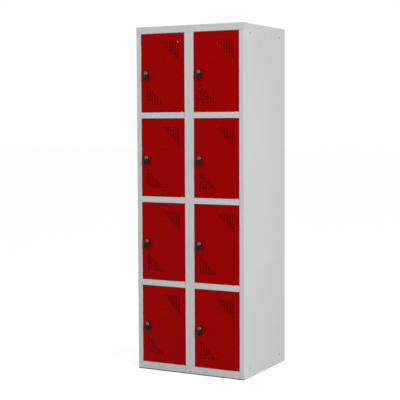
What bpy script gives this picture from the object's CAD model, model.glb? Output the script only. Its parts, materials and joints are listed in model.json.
# The looks of the compartment locker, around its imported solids. Lengths are in metres.
import json
import math

import bpy
from mathutils import Matrix, Vector


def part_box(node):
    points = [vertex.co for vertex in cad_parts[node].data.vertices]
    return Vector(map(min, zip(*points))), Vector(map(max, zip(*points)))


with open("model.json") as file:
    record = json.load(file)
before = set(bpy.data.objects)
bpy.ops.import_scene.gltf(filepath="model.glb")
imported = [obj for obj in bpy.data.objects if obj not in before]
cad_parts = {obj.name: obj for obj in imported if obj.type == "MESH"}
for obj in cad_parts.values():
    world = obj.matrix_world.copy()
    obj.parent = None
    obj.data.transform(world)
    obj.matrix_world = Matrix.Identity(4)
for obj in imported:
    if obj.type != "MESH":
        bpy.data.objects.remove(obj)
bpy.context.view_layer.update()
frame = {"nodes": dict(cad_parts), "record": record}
nodes = frame["nodes"]
scene = bpy.context.scene

# Camera, fitted to the locker's edges in the photograph. The upright ones run parallel there, which takes
# a level camera with a shift of -0.22. Most of that is downward pitch here, within 1.7 pixels at the
# corners, so that the other views, which keep the shift, hold the whole locker.
CAMERA_PLACE = Vector((2.5376, -4.9369, 1.2668))
CAMERA_YAW = math.radians(27.813)
CAMERA_PITCH = math.radians(3.345)
CAMERA_ROLL = math.radians(-0.251)
CAMERA_LENS_MM = 96.90
CAMERA_SHIFT = -0.04
CAMERA_CLIP_END = 100
SENSOR_MM = 36

# Lights: a softbox to the front and right, a weak one beside the locker, one above its front, and an even
# world around them
BOXES = [  # place, what it faces, width in metres, power in watts
    ((3.00, -2.20, 1.60), (0.00, -0.24, 0.90), 1.2, 41.0),
    ((2.30, -0.45, 1.05), (0.30, 0.00, 1.00), 1.0, 7.5),
    ((0.00, -2.00, 3.40), (0.00, -0.24, 1.20), 1.2, 12.8),
]

# The world's strength as it lights the locker, and as the camera and gloss see it behind it
AMBIENT = 0.65
BACKGROUND = 1.0
WHITE = (1, 1, 1, 1)

# The floor lies just under the locker's feet, and glows for the rays that should see the white background
FLOOR_REACH = 40
FLOOR_DROP = 0.0002
FLOOR_TONE = 0.6
FLOOR_GLOW = 0.6

# How far the bevelled normal agrees with the surface's own, where an edge is fully worn and where it isn't
EDGE_WORN = 0.80
EDGE_UNTOUCHED = 0.99
BEVEL_SAMPLES = 4

# Decimals to which the locks' places in metres are rounded, to find their columns and rows
PLACE_DIGITS = 5


def make_camera():
    data = bpy.data.cameras.new("camera")
    data.sensor_fit = "HORIZONTAL"
    data.sensor_width = SENSOR_MM
    data.lens = CAMERA_LENS_MM
    data.shift_y = CAMERA_SHIFT
    data.clip_end = CAMERA_CLIP_END
    camera = bpy.data.objects.new("camera", data)
    turn = Matrix.Rotation(CAMERA_YAW, 4, "Z") @ Matrix.Rotation(math.pi / 2 - CAMERA_PITCH, 4, "X")
    camera.matrix_world = Matrix.Translation(CAMERA_PLACE) @ turn @ Matrix.Rotation(CAMERA_ROLL, 4, "Z")
    scene.collection.objects.link(camera)
    scene.camera = camera


def math_node(tree, operation, *values):
    node = tree.nodes.new("ShaderNodeMath")
    node.operation = operation
    for socket, value in zip(node.inputs, values):
        if isinstance(value, (int, float)):
            socket.default_value = value
        else:
            tree.links.new(value, socket)
    return node.outputs[0]


def distance(tree, coordinate, middle):
    return math_node(tree, "ABSOLUTE", math_node(tree, "SUBTRACT", coordinate, middle))


def split_axes(tree, place):
    node = tree.nodes.new("ShaderNodeSeparateXYZ")
    tree.links.new(place, node.inputs[0])
    return node.outputs


def outside_footprint(tree):
    """0 on the ground under the locker and 1 around it, so that its foot isn't lit from below."""
    axes = split_axes(tree, tree.nodes.new("ShaderNodeNewGeometry").outputs["Position"])
    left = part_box("side_panel_left")[0][0]
    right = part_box("side_panel_right")[1][0]
    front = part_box("base_panel_left")[0][1]
    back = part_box("back_panel_left")[1][1]
    beyond = []
    for coordinate, low, high in ((axes["X"], left, right), (axes["Y"], front, back)):
        away = distance(tree, coordinate, (low + high) / 2)
        beyond.append(math_node(tree, "SUBTRACT", away, (high - low) / 2))
    return math_node(tree, "GREATER_THAN", math_node(tree, "MAXIMUM", *beyond), 0.0)


def seen_directly(tree):
    """1 for rays that should meet the white background: those of the camera, of gloss and of glass."""
    path = tree.nodes.new("ShaderNodeLightPath")
    total = path.outputs["Is Camera Ray"]
    for name in ("Is Glossy Ray", "Is Transmission Ray"):
        total = math_node(tree, "MAXIMUM", total, path.outputs[name])
    return total


def make_world():
    world = bpy.data.worlds.new("studio")
    world.use_nodes = True
    tree = world.node_tree
    level = tree.nodes.new("ShaderNodeMapRange")
    level.inputs["To Min"].default_value = AMBIENT
    level.inputs["To Max"].default_value = BACKGROUND
    tree.links.new(seen_directly(tree), level.inputs["Value"])
    background = tree.nodes["Background"]
    background.inputs["Color"].default_value = WHITE
    tree.links.new(level.outputs["Result"], background.inputs["Strength"])
    scene.world = world


def make_boxes():
    for k, (place, faced, width, power) in enumerate(BOXES):
        data = bpy.data.lights.new(f"softbox_{k}", "AREA")
        data.shape = "DISK"
        data.size = width
        data.energy = power
        lamp = bpy.data.objects.new(f"softbox_{k}", data)
        lamp.location = place
        lamp.rotation_euler = (Vector(place) - Vector(faced)).to_track_quat("Z", "Y").to_euler()
        lamp.visible_camera = False
        scene.collection.objects.link(lamp)


def floor_paper():
    """Matt pale paper with the background's glow on it, which keeps the locker's shadow."""
    paper = bpy.data.materials.new("floor_paper")
    paper.use_nodes = True
    tree = paper.node_tree
    tree.nodes.clear()
    diffuse = tree.nodes.new("ShaderNodeBsdfDiffuse")
    diffuse.inputs["Color"].default_value = (FLOOR_TONE, FLOOR_TONE, FLOOR_TONE, 1)
    glow = tree.nodes.new("ShaderNodeEmission")
    strength = math_node(tree, "MULTIPLY", seen_directly(tree), FLOOR_GLOW)
    strength = math_node(tree, "MULTIPLY", strength, outside_footprint(tree))
    tree.links.new(strength, glow.inputs["Strength"])
    both = tree.nodes.new("ShaderNodeAddShader")
    tree.links.new(diffuse.outputs[0], both.inputs[0])
    tree.links.new(glow.outputs[0], both.inputs[1])
    output = tree.nodes.new("ShaderNodeOutputMaterial")
    tree.links.new(both.outputs[0], output.inputs["Surface"])
    return paper


def make_floor():
    mesh = bpy.data.meshes.new("floor")
    corners = [(x * FLOOR_REACH, y * FLOOR_REACH, 0) for x, y in ((-1, -1), (1, -1), (1, 1), (-1, 1))]
    mesh.from_pydata(corners, [], [(0, 1, 2, 3)])
    mesh.materials.append(floor_paper())
    floor = bpy.data.objects.new("floor", mesh)
    floor.location.z = -FLOOR_DROP
    scene.collection.objects.link(floor)


def linear(level):
    """A colour channel from 0 to 255, as an image stores it, in linear light, by the sRGB curve."""
    c = level / 255
    return c / 12.92 if c <= 0.04045 else ((c + 0.055) / 1.055) ** 2.4


def colour(r, g, b):
    return linear(r), linear(g), linear(b), 1


def shaded(rgba, factor):
    return tuple(min(1, c * factor) for c in rgba[:3]) + (1,)


class Surface:
    """A principled material whose patterns are laid out in the locker's own metres."""

    def __init__(self, name):
        self.material = bpy.data.materials.new(name)
        self.material.use_nodes = True
        self.tree = self.material.node_tree
        self.shader = self.tree.nodes["Principled BSDF"]
        self.place = self.tree.nodes.new("ShaderNodeTexCoord").outputs["Object"]
        self.normal = None

    def constant(self, socket, value):
        """A number or colour that is the same all over."""
        self.shader.inputs[socket].default_value = value

    def link(self, value, socket):
        self.tree.links.new(value, self.shader.inputs[socket])

    def noise(self, size, detail=2):
        """Smooth noise whose blotches are about size across."""
        texture = self.tree.nodes.new("ShaderNodeTexNoise")
        texture.inputs["Scale"].default_value = 1 / size
        texture.inputs["Detail"].default_value = detail
        self.tree.links.new(self.place, texture.inputs["Vector"])
        return texture.outputs["Fac"]

    def spread(self, value, low, high, start=0.3, end=0.7):
        """Goes from low to high while value, which is noise as a rule, goes from start to end."""
        node = self.tree.nodes.new("ShaderNodeMapRange")
        for socket, number in (("From Min", start), ("From Max", end), ("To Min", low), ("To Max", high)):
            node.inputs[socket].default_value = number
        self.tree.links.new(value, node.inputs["Value"])
        return node.outputs["Result"]

    def mixed(self, share, first, second, kind="RGBA"):
        """Goes from first to second while share goes from 0 to 1. Either can be a pattern."""
        node = self.tree.nodes.new("ShaderNodeMix")
        node.data_type = kind
        self.tree.links.new(share, node.inputs["Factor"])
        for socket, end in (("A", first), ("B", second)):
            if isinstance(end, (int, float, tuple)):
                node.inputs[socket].default_value = end
            else:
                self.tree.links.new(end, node.inputs[socket])
        return node.outputs["Result"]

    def mottled(self, first, second, size, detail):
        """Two colours in blotches about size across."""
        return self.mixed(self.spread(self.noise(size, detail), 0, 1), first, second)

    def roughness(self, low, high, size, detail, worn=None, polished=None):
        """Roughness in blotches, and polished where it is worn."""
        level = self.spread(self.noise(size, detail), low, high)
        if worn is not None:
            level = self.mixed(worn, level, polished, "FLOAT")
        self.link(level, "Roughness")

    def edges(self, radius, patches, least=0.5):
        """1 along edges, over about radius, and down to least in patches. It rounds the edges too."""
        bevel = self.tree.nodes.new("ShaderNodeBevel")
        bevel.samples = BEVEL_SAMPLES
        bevel.inputs["Radius"].default_value = radius
        self.normal = bevel.outputs["Normal"]
        agreement = self.tree.nodes.new("ShaderNodeVectorMath")
        agreement.operation = "DOT_PRODUCT"
        own = self.tree.nodes.new("ShaderNodeNewGeometry").outputs["Normal"]
        self.tree.links.new(self.normal, agreement.inputs[0])
        self.tree.links.new(own, agreement.inputs[1])
        edge = self.spread(agreement.outputs["Value"], 1, 0, EDGE_WORN, EDGE_UNTOUCHED)
        wear = self.spread(self.noise(patches, detail=3), least, 1)
        return math_node(self.tree, "MULTIPLY", edge, wear)

    def relief(self, *layers):
        """Bump from patterns, each with its height in metres."""
        normal = self.normal
        for value, height in layers:
            bump = self.tree.nodes.new("ShaderNodeBump")
            bump.inputs["Distance"].default_value = height
            self.tree.links.new(value, bump.inputs["Height"])
            if normal is not None:
                self.tree.links.new(normal, bump.inputs["Normal"])
            normal = bump.outputs["Normal"]
        self.link(normal, "Normal")


def powder_coat(name, rgba, bright, tint=None):
    """Baked powder paint: a satin film with a fine orange-peel skin, drawn thin and rubbed along edges."""
    s = Surface(name)
    worn = s.edges(radius=0.0007, patches=0.05)
    film = s.mottled(shaded(rgba, 0.975), shaded(rgba, 1.02), size=0.22, detail=3)
    specks = s.spread(s.noise(size=0.0016, detail=1), 0, 0.5, start=0.62, end=0.78)
    film = s.mixed(specks, film, shaded(rgba, 0.94))
    s.link(s.mixed(worn, film, bright), "Base Color")
    s.roughness(low=0.32, high=0.42, size=0.03, detail=3, worn=worn, polished=0.26)
    if tint:
        s.constant("Specular Tint", tint)
    orange_peel = (s.noise(size=0.0022), 0.00006)
    fine_grain = (s.noise(size=0.0007, detail=1), 0.000012)
    unevenness = (s.noise(size=0.09), 0.0002)
    s.relief(orange_peel, fine_grain, unevenness)
    return s.material


def moulded_plastic():
    """Black moulded plastic: an eroded grain, and edges that handling has polished."""
    s = Surface("black_plastic")
    s.constant("Specular IOR Level", 0.12)
    worn = s.edges(radius=0.0009, patches=0.006, least=0.2)
    grain = s.mottled(colour(15, 15, 16), colour(21, 21, 22), size=0.004, detail=2)
    s.link(s.mixed(worn, grain, colour(34, 34, 36)), "Base Color")
    s.roughness(low=0.40, high=0.54, size=0.002, detail=2, worn=worn, polished=0.30)
    s.relief((s.noise(size=0.0005, detail=3), 0.00004), (s.noise(size=0.006, detail=1), 0.00005))
    return s.material


def lock_middles(axis):
    """Where the locks' plugs have their middles along an axis, each place once."""
    k = "XYZ".index(axis)
    boxes = [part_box(name) for name in nodes if name.startswith("lock_plug")]
    return sorted({round((low[k] + high[k]) / 2, PLACE_DIGITS) for low, high in boxes})


def turned_rings(s, pitch):
    """Fine rings round each lock's own axis, as a lathe leaves them."""
    axes = split_axes(s.tree, s.place)
    squares = []
    for axis in ("X", "Z"):
        places = lock_middles(axis)
        nearest = distance(s.tree, axes[axis], places[0])
        for place in places[1:]:
            nearest = math_node(s.tree, "MINIMUM", nearest, distance(s.tree, axes[axis], place))
        squares.append(math_node(s.tree, "MULTIPLY", nearest, nearest))
    radius = math_node(s.tree, "SQRT", math_node(s.tree, "ADD", *squares))
    return math_node(s.tree, "SINE", math_node(s.tree, "MULTIPLY", radius, 2 * math.pi / pitch))


def nickel():
    """Nickel plate over a turned body: faint rings, small stains and bright rubbed edges."""
    s = Surface("nickel")
    s.constant("Metallic", 1.0)
    worn = s.edges(radius=0.0005, patches=0.004, least=0.4)
    stains = s.mottled(colour(86, 85, 84), colour(108, 107, 105), size=0.006, detail=3)
    s.link(s.mixed(worn, stains, colour(176, 175, 172)), "Base Color")
    s.roughness(low=0.26, high=0.42, size=0.001, detail=2)
    s.relief((turned_rings(s, pitch=0.0006), 0.000004), (s.noise(size=0.0003), 0.000006))
    return s.material


def zinc_steel():
    """Zinc plate: a pale spangle with a faint yellow and blue cast."""
    s = Surface("zinc_steel")
    s.constant("Metallic", 1.0)
    worn = s.edges(radius=0.0004, patches=0.004, least=0.3)
    cast = s.mottled(colour(160, 167, 180), colour(202, 202, 192), size=0.005, detail=4)
    s.link(s.mixed(worn, cast, colour(216, 217, 214)), "Base Color")
    s.roughness(low=0.28, high=0.48, size=0.002, detail=3)
    s.relief((s.noise(size=0.0004), 0.00001), (s.noise(size=0.003), 0.00002))
    return s.material


def buffer_rubber():
    """Grey-black rubber with a bloom on its skin."""
    s = Surface("rubber")
    s.constant("Specular IOR Level", 0.2)
    worn = s.edges(radius=0.0004, patches=0.002, least=0.3)
    bloom = s.mottled(colour(40, 40, 42), colour(60, 60, 62), size=0.002, detail=3)
    s.link(s.mixed(worn, bloom, colour(74, 74, 76)), "Base Color")
    s.roughness(low=0.7, high=0.85, size=0.001, detail=2)
    s.relief((s.noise(size=0.0004), 0.00003))
    return s.material


def nylon():
    """Natural nylon: milky, with faint flow marks."""
    s = Surface("nylon")
    s.constant("Subsurface Weight", 0.1)
    s.constant("Subsurface Scale", 0.002)
    worn = s.edges(radius=0.0003, patches=0.002, least=0.3)
    flow = s.mottled(colour(230, 228, 217), colour(240, 239, 232), size=0.004, detail=2)
    s.link(s.mixed(worn, flow, colour(222, 220, 210)), "Base Color")
    s.roughness(low=0.38, high=0.5, size=0.002, detail=2)
    s.relief((s.noise(size=0.0006), 0.00001))
    return s.material


def dress_nodes():
    paint = {
        "frame_paint": powder_coat("frame_paint", colour(198, 198, 198), colour(216, 216, 216)),
        "door_paint": powder_coat("door_paint", colour(151, 0, 1), colour(178, 10, 10), tint=(1, 0, 0, 1)),
        "black_plastic": moulded_plastic(),
        "nickel": nickel(),
        "zinc_steel": zinc_steel(),
        "rubber": buffer_rubber(),
        "nylon": nylon(),
    }
    for part in frame["record"]["subparts"]:
        node = nodes[part["node"]]
        node.data.materials.clear()
        node.data.materials.append(paint[part["material_slot"]])


scene.view_settings.view_transform = "Standard"
make_camera()
make_world()
make_boxes()
make_floor()
dress_nodes()
